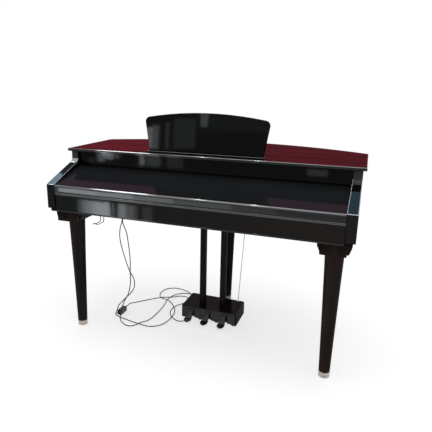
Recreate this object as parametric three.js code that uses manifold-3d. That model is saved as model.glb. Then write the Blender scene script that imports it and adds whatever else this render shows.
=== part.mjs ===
// Compact digital grand-style piano on three legs, with a sliding key cover and a pedal lyre.
// Millimetres. X runs to the player's right, Y away from the player, Z up from the floor.
// The pieces are worked out with y = 0 at the front of the arms, and the whole is centred at the end.

import * as THREE from 'three';
import { mergeVertices } from 'three/addons/utils/BufferGeometryUtils.js';
import Module from 'manifold-3d';

const wasm = await Module();
wasm.setup();

// General
const clearance = 0.3;
const overrun = 4;
const weld = 0.001;
const edgeRound = 2;

// Case
const caseWidth = 1400;
const caseDepth = 804;
const caseHeight = 917;
const sideThickness = 42;
const caseTaper = 11.3;
const sideHeight = 244.9;
const armHeight = 114.2;
const armSlopeDepth = 184;
const armSlopeRise = 73;
const armShoulderDepth = 28;
const armShoulderRise = 27;
const lidThickness = 14;
const lidOverhang = 14.5;
const lidFront = 203;
const lidBow = 198;
const rearInset = 9;
const rearWall = 18;
const rearCheek = 25;
const boardThickness = 17;
const boardInset = 10;

// Front rails
const apronSetback = 6;
const apronThickness = 14;
const apronLift = 3.3;
const apronHeight = 80.2;
const apronBead = 8;
const apronBeadProud = 3;
const slipFront = 2;
const slipDepth = 18;
const slipHeight = 12.7;
const slipBead = 3;
const slipStep = 2;

// Key cover and the board above it
const coverAngle = THREE.MathUtils.degToRad(15);
const coverThickness = 9;
const coverRailFront = 0.8;
const coverRailDepth = 19;
const coverRailHeight = 31.5;
const coverRailRound = 9;
const coverEnd = 250;
const coverTravel = 200;
const coverRunGap = 1.6;
const coverTongue = 6;
const coverTongueStart = 34;
const frontBoardFront = 225;
const frontBoardThickness = 18;
const frontBoardGap = 2.5;

// Keyboard
const keyBlockWidth = 46.2;
const keyGap = 1;
const whiteCount = 52;
const octaveCount = 7;
const firstLetter = 5;
const octaveStart = 23;
const whiteLength = 150;
const whiteHeight = 17.3;
const whiteLip = 1.5;
const whiteLipHeight = 3;
const whiteDrop = 2;
const keyFrontGap = 1.2;
const blackLength = 95;
const blackWidth = 11;
const blackTopWidth = 9.4;
const blackRise = 12;
const blackNose = 6;
const blackNeck = 4;
const blackSlotGap = 0.9;
const outerPairShift = 2.6;
const outerTripleShift = 3.6;
const keyTail = 43;
const heelRadius = 6;
const keyDip = 10;
const frameBase = 6;
const frameRail = 30;
const frameStopFront = 13;
const frameStopDepth = 24;
const frameLedge = 2;
const frameNeckGap = 0.6;
const combStrip = 30;
const blockTopDrop = 0.5;
const blockSlopeShare = 0.8;

// Control panel
const panelFrontGap = 2.5;
const panelLip = 10;
const panelRise = 36;
const buttonRadius = 6;
const buttonHeight = 10;
const buttonProud = 3;
const buttonTravel = 2;
const buttonFromEnd = 70;
const knobRadius = 11;
const knobHeight = 12;
const knobShaft = 3;
const knobShaftLength = 8;

// Inside the case
const speakerRadius = 58;
const speakerHeight = 52;
const speakerX = 330;
const speakerY = 352;
const slotCount = 7;
const slotWidth = 6;
const slotLength = 92;
const slotPitch = 14;
const mainBoardX = 0;
const mainBoardY = 470;
const mainBoardWidth = 190;
const mainBoardDepth = 120;
const mainBoardThickness = 1.6;
const mainBoardPost = 9;
const heatSinkWidth = 70;
const heatSinkHeight = 24;
const heatSinkFins = 6;

// Legs
const legInset = 80;
const legY = 118;
const rearLegY = 693;
const legTopRadius = 40;
const legFootRadius = 24;
const legFlareShare = 0.12;
const ferruleHeight = 28;
const ferruleRadius = 25;
const blockFront = 30;
const blockDepth = 135;
const blockNoseDepth = 30;
const blockHeight = 51.4;
const blockReach = 67;
const blockFoot = 57;
const noseReachIn = 65;
const noseFootIn = 54;
const noseReachOut = 55;
const noseFootOut = 50;
const collarRadius = 52;
const collarHeight = 12;

// Lyre and pedals
const lyreHalfSpan = 56;
const lyrePost = 30;
const lyreY = 425;
const pedalBoxWidth = 304;
const pedalBoxFront = 350;
const pedalBoxDepth = 170;
const pedalBoxBottom = 22;
const pedalBoxHeight = 67;
const pedalBoxWall = 8;
const pedalBoxCorner = 12;
const pedalBoxRound = 5;
const scallopHalf = 40;
const scallopRise = 9;
const pedalSlotHalf = 13;
const pedalSlotTop = 57;
const pedalSpacing = 90;
const pedalReach = 88;
const pedalHeelInset = 35;
const pedalThickness = 12;
const pedalLift = 18;
const pedalTipWidth = 39;
const pedalShankWidth = 18;
const pedalBlade = 52;
const pedalHeelRadius = 10;
const pedalCrestRise = 24;
const pedalCrestReach = 12;
const pedalTipDrop = 5;
const axleRadius = 4;
const axleGap = 0.3;
const earWidth = 10;
const baseThickness = 5;
const baseSetback = 22;
const braceX = 118;
const braceFootInset = 12;
const braceSetback = 130;
const braceRadius = 2.4;
const braceFootRadius = 8;
const braceFootHeight = 3;

// Music desk
const deskHalfFoot = 276.5;
const deskHalfTop = 298.5;
const deskHeight = 183;
const deskShoulder = 150;
const deskCorner = 20;
const deskThickness = 14;
const deskLean = THREE.MathUtils.degToRad(3);
const deskHingeY = 255;
const ledgeHalf = 283;
const ledgeFront = 235;
const ledgeDepth = 33;
const ledgeHeight = 4.5;
const ledgeLip = 8;
const ledgeLipDepth = 7;
const stayLength = 90;
const stayHeight = 72;
const stayWidth = 120;
const stayThickness = 3.4;
const stayGrip = 24;

// Underside fittings
const hookFromLeg = 159;
const hookY = 95;
const hookSpan = 18;
const hookDrop = 50;
const hookReach = 68;
const hookTip = 8;
const hookBend = 9;
const hookRadius = 2.1;
const jackBoxFromLeg = 182.5;
const jackBoxY = 248.5;
const jackBoxWidth = 76;
const jackBoxDepth = 62;
const jackBoxHeight = 28;
const plugRadius = 6;
const plugLength = 22;
const reliefLength = 34;
const socketDepth = 6;
const plugStepX = 17;
const plugStepY = 27;

// Cords and the power adapter on the floor
const cordRadius = 2.5;
const cordSides = 8;
const adapterX = -486;
const adapterFront = 271;
const adapterWidth = 26;
const adapterLength = 59;
const adapterHeight = 32;
const adapterRound = 4;
const pinRadius = 2;
const pinLength = 19;
const pinSpacing = 19;
const glandX = -120;
const glandHeight = 14;
const glandRadius = 6;
const glandLength = 22;

// Worked out from the sizes above
const halfWidth = caseWidth / 2;
const innerHalf = halfWidth - sideThickness;
const fitHalf = innerHalf - clearance;
const lidBottom = caseHeight - lidThickness;
const sideTop = lidBottom - clearance;
const sideBottom = sideTop - sideHeight;
const boardTop = sideBottom - clearance;
const boardBottom = boardTop - boardThickness;
const insideFloor = boardTop + clearance;
const apronBack = apronSetback + apronThickness;
const apronBottom = boardBottom + apronLift;
const apronTop = apronBottom + apronHeight;
const slipBottom = apronTop + clearance;
const slipTop = slipBottom + slipHeight;
const railBottom = slipTop + coverRunGap;
const railTop = railBottom + coverRailHeight;
const railBack = coverRailFront + coverRailDepth;
const whiteTop = slipTop - whiteDrop;
const whiteBottom = whiteTop - whiteHeight;
const keyFront = railBack + keyFrontGap;
const keyboardHalf = fitHalf - keyBlockWidth - keyGap / 2;
const keyPitch = 2 * keyboardHalf / whiteCount;
const visibleEnd = keyFront + whiteLength;
const heelY = visibleEnd + keyTail;
const heelZ = whiteBottom + heelRadius;
const frameTop = whiteTop + frameNeckGap + blackNeck;
const frameBack = heelY + heelRadius + frameRail;
const panelBottom = frameTop + clearance;
const panelFront = visibleEnd + panelFrontGap;
const legX = halfWidth - legInset;
const blockBottom = boardBottom - clearance - blockHeight;
const legTop = blockBottom - clearance;
const pedalBoxTop = pedalBoxBottom + pedalBoxHeight;
const pedalBoxBack = pedalBoxFront + pedalBoxDepth;
const axleY = pedalBoxBack - pedalHeelInset;
const axleZ = pedalBoxBottom + pedalLift + pedalThickness / 2;
const hookX = hookFromLeg - legX;
const jackBoxX = jackBoxFromLeg - legX;
const jackBottom = boardBottom - clearance - jackBoxHeight;
const powerPlug = [jackBoxX - plugStepX / 2, jackBoxY + plugStepY / 2];
const pedalPlug = [jackBoxX + plugStepX / 2, jackBoxY - plugStepY / 2];

// Materials
const finish = (color, roughness, metalness) => () =>
  new THREE.MeshStandardMaterial({ color, roughness, metalness });
const blackLacquer = finish(0x101012, 0.06, 0);
const redLacquer = finish(0x5a1620, 0.08, 0);
const keyIvory = finish(0xf2efe6, 0.25, 0);
const keyEbony = finish(0x17171a, 0.35, 0);
const satinPlastic = finish(0x1c1c1f, 0.5, 0);
const chrome = finish(0xc8c8cc, 0.12, 1);
const darkSteel = finish(0x77777c, 0.25, 1);
const cordRubber = finish(0x222224, 0.6, 0);
const circuitGreen = finish(0x1d5a34, 0.5, 0);
const speakerGrey = finish(0x3a3a3d, 0.6, 0.2);

const instrument = new THREE.Group();

function addPiece(name, geometry, material, parent = instrument) {
  const mesh = new THREE.Mesh(geometry, material());
  mesh.name = name;
  parent.add(mesh);
  return mesh;
}

// Closed geometry to solid and back, for joins and cuts
function toSolid(geometry) {
  const bare = new THREE.BufferGeometry();
  bare.setAttribute('position', geometry.getAttribute('position').clone());
  if (geometry.index) bare.setIndex(geometry.index.clone());
  const merged = mergeVertices(bare, weld);
  const index = merged.index.array;
  const kept = [];
  for (let i = 0; i < index.length; i += 3) {
    const [a, b, c] = [index[i], index[i + 1], index[i + 2]];
    if (a !== b && b !== c && c !== a) kept.push(a, b, c);
  }
  const vertProperties = new Float32Array(merged.getAttribute('position').array);
  const triVerts = new Uint32Array(kept);
  return new wasm.Manifold(new wasm.Mesh({ numProp: 3, vertProperties, triVerts }));
}

function toGeometry(solid) {
  const mesh = solid.getMesh();
  const geometry = new THREE.BufferGeometry();
  geometry.setAttribute('position', new THREE.BufferAttribute(mesh.vertProperties, 3));
  geometry.setIndex(new THREE.BufferAttribute(mesh.triVerts, 1));
  geometry.computeVertexNormals();
  return geometry;
}

const join = (...parts) => toGeometry(parts.map(toSolid).reduce((all, part) => all.add(part)));

const cut = (base, ...cutters) =>
  toGeometry(cutters.map(toSolid).reduce((left, cutter) => left.subtract(cutter), toSolid(base)));

const common = (first, second) => toGeometry(toSolid(first).intersect(toSolid(second)));

// Shapes
function outline(points) {
  const shape = new THREE.Shape();
  points.forEach(([a, b], i) => (i ? shape.lineTo(a, b) : shape.moveTo(a, b)));
  shape.closePath();
  return shape;
}

const rectangle = (a0, b0, a1, b1) => outline([[a0, b0], [a1, b0], [a1, b1], [a0, b1]]);

function roundedRectangle(a0, b0, a1, b1, radius) {
  const shape = new THREE.Shape();
  shape.moveTo(a0 + radius, b0);
  shape.absarc(a1 - radius, b0 + radius, radius, -Math.PI / 2, 0);
  shape.absarc(a1 - radius, b1 - radius, radius, 0, Math.PI / 2);
  shape.absarc(a0 + radius, b1 - radius, radius, Math.PI / 2, Math.PI);
  shape.absarc(a0 + radius, b0 + radius, radius, Math.PI, Math.PI * 1.5);
  return shape;
}

// Extrusions between two places on an axis, with the two faces' edges rounded by `round`
function extrude(shape, length, round, curveSegments, bevelSegments) {
  const bevel = { bevelThickness: round, bevelSize: round, bevelOffset: -round, bevelSegments };
  const options = { depth: length - 2 * round, curveSegments, bevelEnabled: round > 0, ...bevel };
  return new THREE.ExtrudeGeometry(shape, options).translate(0, 0, round);
}

function alongX(shape, x0, x1, round = 0, curveSegments = 6, bevelSegments = 1) {
  const [y, z, x] = [new THREE.Vector3(0, 1, 0), new THREE.Vector3(0, 0, 1), new THREE.Vector3(1, 0, 0)];
  const turn = new THREE.Matrix4().makeBasis(y, z, x);
  const solid = extrude(shape, x1 - x0, round, curveSegments, bevelSegments);
  return solid.applyMatrix4(turn).translate(x0, 0, 0);
}

function alongY(shape, y0, y1, round = 0, curveSegments = 6, bevelSegments = 1) {
  const solid = extrude(shape, y1 - y0, round, curveSegments, bevelSegments);
  return solid.rotateX(Math.PI / 2).translate(0, y1, 0);
}

function alongZ(shape, z0, z1, round = 0, curveSegments = 6, bevelSegments = 1) {
  return extrude(shape, z1 - z0, round, curveSegments, bevelSegments).translate(0, 0, z0);
}

const block = (x0, y0, z0, x1, y1, z1, round = 0) => alongZ(rectangle(x0, y0, x1, y1), z0, z1, round);

// Turned pieces: pairs of radius and height, closed on the axis
function turned(profile, sides) {
  const points = profile.map(([radius, height]) => new THREE.Vector2(radius, height));
  return new THREE.LatheGeometry(points, sides).rotateX(Math.PI / 2);
}

function rodBetween(from, to, radius, sides) {
  const axis = new THREE.Vector3().subVectors(to, from);
  const rod = new THREE.CylinderGeometry(radius, radius, axis.length(), sides);
  const up = new THREE.Vector3(0, 1, 0);
  const turn = new THREE.Quaternion().setFromUnitVectors(up, axis.clone().normalize());
  const middle = new THREE.Vector3().addVectors(from, to).multiplyScalar(0.5);
  return rod.applyQuaternion(turn).translate(middle.x, middle.y, middle.z);
}

function sweep(points, radius, sides, steps) {
  const route = new THREE.CatmullRomCurve3(points.map((p) => new THREE.Vector3(...p)), false, 'centripetal');
  const section = new THREE.Shape();
  for (let i = 0; i < sides; i += 1) {
    const angle = (i + 0.5) * 2 * Math.PI / sides;
    const [a, b] = [radius * Math.cos(angle), radius * Math.sin(angle)];
    if (i) section.lineTo(a, b);
    else section.moveTo(a, b);
  }
  section.closePath();
  return new THREE.ExtrudeGeometry(section, { steps, extrudePath: route, curveSegments: 1 });
}

// A route whose corners are replaced by short curves that start `reach` away from each of them
function rounded(points, reach) {
  const corners = points.map((p) => new THREE.Vector3(...p));
  const route = [points[0]];
  for (let i = 1; i < corners.length - 1; i += 1) {
    const [before, corner, after] = [corners[i - 1], corners[i], corners[i + 1]];
    const back = Math.min(reach, corner.distanceTo(before) / 2);
    const ahead = Math.min(reach, corner.distanceTo(after) / 2);
    const start = corner.clone().lerp(before, back / corner.distanceTo(before));
    const end = corner.clone().lerp(after, ahead / corner.distanceTo(after));
    const middle = start.clone().add(end).multiplyScalar(1 / 4).addScaledVector(corner, 1 / 2);
    if (start.distanceTo(new THREE.Vector3(...route[route.length - 1])) > weld) route.push(start.toArray());
    route.push(middle.toArray(), end.toArray());
  }
  route.push(points[points.length - 1]);
  return route;
}

// Lid and case
const taperSlope = caseTaper / (caseDepth - lidBow);
const halfAt = (y) => halfWidth - taperSlope * y;
const rearHalf = halfWidth - caseTaper;
const lidHalf = rearHalf + lidOverhang;
const lidRadius = (lidHalf ** 2 + lidBow ** 2) / (2 * lidBow);
const arcCentreY = caseDepth - lidRadius;
const caseRadius = lidRadius - rearInset;

const arcY = (radius, x) => arcCentreY + Math.sqrt(radius ** 2 - x ** 2);

// An outline with a straight front, sides that close in a little and a back on the case's arc
function bowedOutline(frontHalf, half, front, radius) {
  const shape = new THREE.Shape();
  shape.moveTo(-frontHalf, front);
  shape.lineTo(frontHalf, front);
  const start = Math.acos(half / radius);
  shape.absarc(0, arcCentreY, radius, start, Math.PI - start);
  shape.closePath();
  return shape;
}

function makeLid() {
  const shape = bowedOutline(halfAt(lidFront) + lidOverhang, lidHalf, lidFront, lidRadius);
  addPiece('lid', alongZ(shape, lidBottom, caseHeight, edgeRound, 40), redLacquer);
}

const caseSideEnd = arcY(caseRadius, rearHalf);
const sideEnd = caseSideEnd - rearCheek;

function makeRearPanel() {
  const innerRadius = caseRadius - rearWall;
  const innerX = rearHalf - rearWall;
  const outerStart = Math.acos(rearHalf / caseRadius);
  const innerStart = Math.acos(innerX / innerRadius);
  const front = sideEnd + clearance;
  const shape = new THREE.Shape();
  shape.moveTo(halfAt(front), front);
  shape.absarc(0, arcCentreY, caseRadius, outerStart, Math.PI - outerStart);
  shape.lineTo(-halfAt(front), front);
  shape.lineTo(-innerX, front);
  shape.absarc(0, arcCentreY, innerRadius, Math.PI - innerStart, innerStart, true);
  shape.lineTo(innerX, front);
  shape.closePath();
  addPiece('rear_panel', alongZ(shape, sideBottom, sideTop, 0, 28), blackLacquer);
}

// The key cover's upper face: a plane that rises away from the player
const coverTopAt = (y) => railTop + (y - coverRailFront) * Math.tan(coverAngle);
const coverDrop = coverThickness / Math.cos(coverAngle);

function coverBand(y0, y1, grow) {
  const lift = grow / Math.cos(coverAngle);
  return outline([
    [y0, coverTopAt(y0) - coverDrop - lift],
    [y1, coverTopAt(y1) - coverDrop - lift],
    [y1, coverTopAt(y1) + lift],
    [y0, coverTopAt(y0) + lift],
  ]);
}

// Draws a side's outer face in towards the back and leaves its inner face where it is
function taperBack(geometry) {
  const place = geometry.getAttribute('position');
  for (let i = 0; i < place.count; i += 1) {
    const [x, y] = [place.getX(i), place.getY(i)];
    const share = (Math.abs(x) - innerHalf) / sideThickness;
    place.setX(i, x - Math.sign(x) * share * taperSlope * y);
  }
  return geometry;
}

function makeSides() {
  const armTop = sideBottom + armHeight;
  const slopeEnd = armTop + armSlopeRise;
  const shoulderY = armSlopeDepth + armShoulderDepth;
  const shape = new THREE.Shape();
  shape.moveTo(0, sideBottom);
  shape.lineTo(sideEnd, sideBottom);
  shape.lineTo(sideEnd, sideTop);
  shape.lineTo(shoulderY, sideTop);
  shape.lineTo(shoulderY, slopeEnd + armShoulderRise);
  shape.quadraticCurveTo(shoulderY, slopeEnd + armShoulderRise / 3, armSlopeDepth, slopeEnd);
  shape.lineTo(edgeRound, armTop + edgeRound);
  shape.lineTo(0, armTop);
  shape.closePath();
  const grooveEnd = coverEnd + coverTravel * Math.cos(coverAngle) + clearance;
  const groove = coverBand(coverTongueStart - clearance, grooveEnd, clearance);
  const grooveDepth = coverTongue + clearance;
  const right = cut(
    taperBack(alongX(shape, innerHalf, halfWidth, edgeRound)),
    alongX(groove, innerHalf - overrun, innerHalf + grooveDepth),
  );
  const left = cut(
    taperBack(alongX(shape, -halfWidth, -innerHalf, edgeRound)),
    alongX(groove, -innerHalf - grooveDepth, -innerHalf + overrun),
  );
  addPiece('side_left', left, blackLacquer);
  addPiece('side_right', right, blackLacquer);
}

function speakerSlots(centreX) {
  return Array.from({ length: slotCount }, (_, i) => {
    const x = centreX + (i - (slotCount - 1) / 2) * slotPitch;
    const [w, d] = [slotWidth / 2, slotLength / 2];
    return rectangle(x - w, speakerY - d, x + w, speakerY + d);
  });
}

// The bottom board shows as an inset step under the sides; the apron fits in its front notch
function makeBottomBoard() {
  const half = rearHalf - boardInset;
  const frontHalf = halfAt(boardInset) - boardInset;
  const radius = caseRadius - boardInset;
  const start = Math.acos(half / radius);
  const notchBack = apronBack + clearance;
  const shape = new THREE.Shape();
  shape.moveTo(-frontHalf, boardInset);
  shape.lineTo(-innerHalf, boardInset);
  shape.lineTo(-innerHalf, notchBack);
  shape.lineTo(innerHalf, notchBack);
  shape.lineTo(innerHalf, boardInset);
  shape.lineTo(frontHalf, boardInset);
  shape.absarc(0, arcCentreY, radius, start, Math.PI - start);
  shape.closePath();
  const slots = [...speakerSlots(-speakerX), ...speakerSlots(speakerX)];
  const cutters = slots.map((slot) => alongZ(slot, boardBottom - overrun, boardTop + overrun));
  addPiece('bottom_board', cut(alongZ(shape, boardBottom, boardTop, 0, 28), ...cutters), blackLacquer);
}

function makeApron() {
  const front = apronSetback;
  const beadTop = apronBottom + apronBead;
  const shape = new THREE.Shape();
  shape.moveTo(apronBack, apronBottom);
  shape.lineTo(apronBack, apronTop);
  shape.lineTo(front, apronTop);
  shape.lineTo(front, beadTop);
  shape.absarc(front, apronBottom + apronBead / 2, apronBeadProud, Math.PI / 2, Math.PI * 1.5);
  shape.lineTo(front, apronBottom);
  shape.closePath();
  addPiece('apron', alongX(shape, -fitHalf, fitHalf, 0, 6), blackLacquer);
}

// Two beads with a step between them
function makeKeySlip() {
  const back = slipFront + slipDepth;
  const lowerFront = slipFront + slipStep;
  const shape = new THREE.Shape();
  shape.moveTo(back, slipBottom);
  shape.lineTo(back, slipTop);
  shape.lineTo(slipFront + slipBead, slipTop);
  shape.absarc(slipFront + slipBead, slipTop - slipBead, slipBead, Math.PI / 2, Math.PI * 1.5);
  shape.lineTo(lowerFront + slipStep, slipTop - 2 * slipBead);
  const lowBead = (slipHeight - 2 * slipBead) / 2;
  shape.absarc(lowerFront + lowBead, slipBottom + lowBead, lowBead, Math.PI / 2, Math.PI * 1.5);
  shape.closePath();
  addPiece('key_slip', alongX(shape, -fitHalf, fitHalf, 0, 5), blackLacquer);
}

// Sliding cover: a sloping panel with a deep rounded rail at its front, and a tongue at each end
function makeKeyCover() {
  const [front, back] = [coverRailFront, railBack];
  const shape = new THREE.Shape();
  shape.moveTo(front + edgeRound, railBottom);
  shape.lineTo(back, railBottom);
  shape.lineTo(back, coverTopAt(back) - coverDrop);
  shape.lineTo(coverEnd, coverTopAt(coverEnd) - coverDrop);
  shape.lineTo(coverEnd, coverTopAt(coverEnd));
  const roundEnd = front + coverRailRound;
  shape.lineTo(roundEnd, coverTopAt(roundEnd));
  shape.quadraticCurveTo(front, coverTopAt(front), front, coverTopAt(front) - coverRailRound);
  shape.lineTo(front, railBottom + edgeRound);
  shape.closePath();
  const panel = alongX(shape, -fitHalf, fitHalf, 0, 5);
  const tongueHalf = innerHalf + coverTongue;
  const tongues = alongX(coverBand(coverTongueStart, coverEnd, 0), -tongueHalf, tongueHalf);
  addPiece('key_cover', join(panel, tongues), blackLacquer);
}

function makeFrontBoard() {
  const back = frontBoardFront + frontBoardThickness;
  const bottom = coverTopAt(back) + frontBoardGap;
  const board = block(-fitHalf, frontBoardFront, bottom, fitHalf, back, sideTop, edgeRound);
  addPiece('front_board', board, blackLacquer);
}

// Keyboard. A letter is counted from C = 0; black keys stand right of C, D, F, G and A.
const letterOf = (white) => (white + firstLetter) % octaveCount;
const blackShift = {
  0: -outerPairShift,
  1: outerPairShift,
  3: -outerTripleShift,
  4: 0,
  5: outerTripleShift,
};
const hasBlack = (white) => white >= 0 && white < whiteCount - 1 && letterOf(white) in blackShift;
const whiteX = (white) => -keyboardHalf + white * keyPitch;
const blackX = (white) => whiteX(white + 1) + blackShift[letterOf(white)];
const inOctave = (white) => white >= octaveStart && white < octaveStart + octaveCount;
const whiteRange = (from, to) => Array.from({ length: to - from }, (_, i) => from + i);

function whiteOutline(white, back) {
  const left = whiteX(white) + keyGap / 2;
  const right = whiteX(white + 1) - keyGap / 2;
  const slotHalf = blackWidth / 2 + blackSlotGap;
  const tailLeft = hasBlack(white - 1) ? blackX(white - 1) + slotHalf : left;
  const tailRight = hasBlack(white) ? blackX(white) - slotHalf : right;
  const shoulder = visibleEnd - blackLength - blackSlotGap;
  return outline([
    [left, keyFront],
    [right, keyFront],
    [right, shoulder],
    [tailRight, shoulder],
    [tailRight, back],
    [tailLeft, back],
    [tailLeft, shoulder],
    [left, shoulder],
  ]);
}

// Side view of a key that turns on its rounded heel
function heeledProfile(front, top, head) {
  const shape = new THREE.Shape();
  shape.moveTo(...front[0]);
  front.slice(1).forEach((point) => shape.lineTo(...point));
  if (head) head.forEach((point) => shape.lineTo(...point));
  shape.lineTo(heelY - heelRadius, top);
  shape.lineTo(heelY, heelZ + heelRadius);
  shape.absarc(heelY, heelZ, heelRadius, Math.PI / 2, -Math.PI / 2, true);
  shape.closePath();
  return shape;
}

function whiteProfile() {
  const nose = keyFront + whiteLip;
  const lipBottom = whiteTop - whiteLipHeight;
  const front = [[nose, whiteBottom], [nose, lipBottom], [keyFront, lipBottom], [keyFront, whiteTop]];
  return heeledProfile(front, whiteTop);
}

function blackProfile() {
  const front = visibleEnd - blackLength;
  const top = whiteTop + blackRise;
  const edge = [[front, whiteBottom], [front, whiteTop], [front + blackNose, top]];
  return heeledProfile(edge, whiteTop, [[visibleEnd, top], [visibleEnd, whiteTop]]);
}

// Front view of a black key: wider at the bottom than at the top
function blackSection(x) {
  const [low, high] = [blackWidth / 2, blackTopWidth / 2];
  const top = whiteTop + blackRise;
  return outline([
    [x - low, whiteBottom],
    [x + low, whiteBottom],
    [x + low, whiteTop],
    [x + high, top],
    [x - high, top],
    [x - low, whiteTop],
  ]);
}

function blackHead(white) {
  const x = blackX(white);
  const front = visibleEnd - blackLength;
  const top = whiteTop + blackRise;
  const side = outline([
    [front, whiteBottom],
    [visibleEnd, whiteBottom],
    [visibleEnd, top],
    [front + blackNose, top],
    [front, whiteTop],
  ]);
  const section = alongY(blackSection(x), front - overrun, visibleEnd + overrun);
  return common(section, alongX(side, x - blackWidth, x + blackWidth));
}

function makeWhiteComb(name, from, to) {
  const back = heelY + heelRadius;
  const keys = whiteRange(from, to).map((white) => alongZ(whiteOutline(white, back), whiteBottom, whiteTop));
  const [x0, x1] = [whiteX(from) + keyGap / 2, whiteX(to) - keyGap / 2];
  const strip = block(x0, back - combStrip, whiteBottom, x1, back, whiteTop);
  const lipBottom = whiteTop - whiteLipHeight;
  const side = outline([
    [keyFront + whiteLip, whiteBottom],
    [back, whiteBottom],
    [back, whiteTop],
    [keyFront, whiteTop],
    [keyFront, lipBottom],
    [keyFront + whiteLip, lipBottom],
  ]);
  addPiece(name, common(join(strip, ...keys), alongX(side, x0 - overrun, x1 + overrun)), keyIvory);
}

// The key frame: base, front stop rail and back rail in one section, carrying the fixed black keys
function makeKeyFrame() {
  const stopFront = keyFront + frameStopFront;
  const stopDrop = keyDip * (heelY - stopFront) / (heelY - keyFront);
  const stopTop = whiteBottom - stopDrop - clearance;
  const base = insideFloor + frameBase;
  const ledgeZ = whiteBottom - clearance;
  const railFront = heelY + heelRadius + clearance;
  const section = outline([
    [stopFront - frameStopFront / 2, insideFloor],
    [frameBack, insideFloor],
    [frameBack, frameTop],
    [railFront, frameTop],
    [railFront, ledgeZ],
    [heelY - frameLedge, ledgeZ],
    [heelY - frameLedge, base],
    [stopFront + frameStopDepth, base],
    [stopFront + frameStopDepth, stopTop],
    [stopFront, stopTop],
    [stopFront, base],
    [stopFront - frameStopFront / 2, base],
  ]);
  const frame = alongX(section, -keyboardHalf, keyboardHalf);
  const fixed = whiteRange(0, whiteCount).filter((white) => hasBlack(white) && !inOctave(white));
  const necks = fixed.map((white) => {
    const [x, half] = [blackX(white), blackTopWidth / 2];
    const z0 = whiteTop + frameNeckGap;
    return block(x - half, visibleEnd - overrun, z0, x + half, railFront + overrun, frameTop);
  });
  addPiece('key_frame', join(frame, ...fixed.map(blackHead), ...necks), keyEbony);
}

function makeHingedKeys() {
  const back = heelY + heelRadius + overrun;
  const names = ['c', 'd', 'e', 'f', 'g', 'a', 'b'];
  whiteRange(octaveStart, octaveStart + octaveCount).forEach((white) => {
    const plan = alongZ(whiteOutline(white, back), whiteBottom - overrun, whiteTop + overrun);
    const side = alongX(whiteProfile(), whiteX(white), whiteX(white + 1));
    const name = names[letterOf(white)];
    addPiece(`white_key_${name}`, common(plan, side), keyIvory);
    if (!hasBlack(white)) return;
    const x = blackX(white);
    const section = alongY(blackSection(x), keyFront, back);
    const body = alongX(blackProfile(), x - blackWidth, x + blackWidth);
    addPiece(`black_key_${name}_sharp`, common(section, body), keyEbony);
  });
}

function makeKeyBlocks() {
  const top = railBottom - coverRunGap - blockTopDrop;
  const back = panelFront - clearance;
  const slope = Math.tan(coverAngle * blockSlopeShare);
  const shape = outline([
    [keyFront, insideFloor],
    [back, insideFloor],
    [back, top + (back - keyFront - edgeRound) * slope],
    [keyFront + edgeRound, top],
    [keyFront, top - edgeRound],
  ]);
  const inner = keyboardHalf + keyGap / 2;
  addPiece('key_block_left', alongX(shape, -fitHalf, -inner), blackLacquer);
  addPiece('key_block_right', alongX(shape, inner, fitHalf), blackLacquer);
}

// Sloping control panel behind the keys, with a bore for the power button and one for the knob
function makeControlPanel() {
  const lipTop = panelBottom + panelLip;
  const shape = outline([
    [panelFront, panelBottom],
    [frameBack, panelBottom],
    [frameBack, lipTop + panelRise],
    [panelFront, lipTop],
  ]);
  const run = frameBack - panelFront;
  const slope = Math.atan2(panelRise, run);
  const place = (x) => {
    const group = new THREE.Group();
    group.position.set(x, (panelFront + frameBack) / 2, lipTop + panelRise / 2);
    group.rotation.x = slope;
    group.updateMatrix();
    return group;
  };
  const buttonGroup = place(fitHalf - buttonFromEnd);
  const knobGroup = place(buttonFromEnd - fitHalf);
  const bore = (group, radius, depth) =>
    turned([[0, -depth], [radius, -depth], [radius, overrun], [0, overrun]], 20).applyMatrix4(group.matrix);
  const buttonDepth = buttonHeight - buttonProud + buttonTravel + clearance;
  const panel = cut(
    alongX(shape, -fitHalf, fitHalf),
    bore(buttonGroup, buttonRadius + clearance, buttonDepth),
    bore(knobGroup, knobShaft + clearance, knobShaftLength + clearance),
  );
  addPiece('control_panel', panel, satinPlastic);
  const button = turned([
    [0, buttonProud - buttonHeight],
    [buttonRadius, buttonProud - buttonHeight],
    [buttonRadius, buttonProud - edgeRound / 2],
    [buttonRadius - edgeRound / 2, buttonProud],
    [0, buttonProud],
  ], 20);
  addPiece('power_button', button, satinPlastic, buttonGroup);
  const knob = turned([
    [0, -knobShaftLength],
    [knobShaft, -knobShaftLength],
    [knobShaft, clearance],
    [knobRadius, clearance],
    [knobRadius, knobHeight - edgeRound],
    [knobRadius - edgeRound, knobHeight],
    [0, knobHeight],
  ], 24);
  const ridge = edgeRound / 2;
  const pointer = block(-ridge, 0, knobHeight - edgeRound, ridge, knobRadius - edgeRound, knobHeight + ridge);
  addPiece('volume_knob', join(knob, pointer), satinPlastic, knobGroup);
  instrument.add(buttonGroup, knobGroup);
}

// Downward-firing speaker: rim, basket and magnet in one turned solid, with its cone's hollow below
const speakerShares = [
  [0, 0.34],
  [0.3, 0.34],
  [0.78, 0],
  [1, 0],
  [1, 0.1],
  [0.86, 0.1],
  [0.52, 0.56],
  [0.56, 0.56],
  [0.56, 1],
  [0, 1],
];

function makeSpeaker(name, x) {
  const profile = speakerShares.map(([radius, height]) => [radius * speakerRadius, height * speakerHeight]);
  addPiece(name, turned(profile, 18).translate(x, speakerY, insideFloor), speakerGrey);
}

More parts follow.
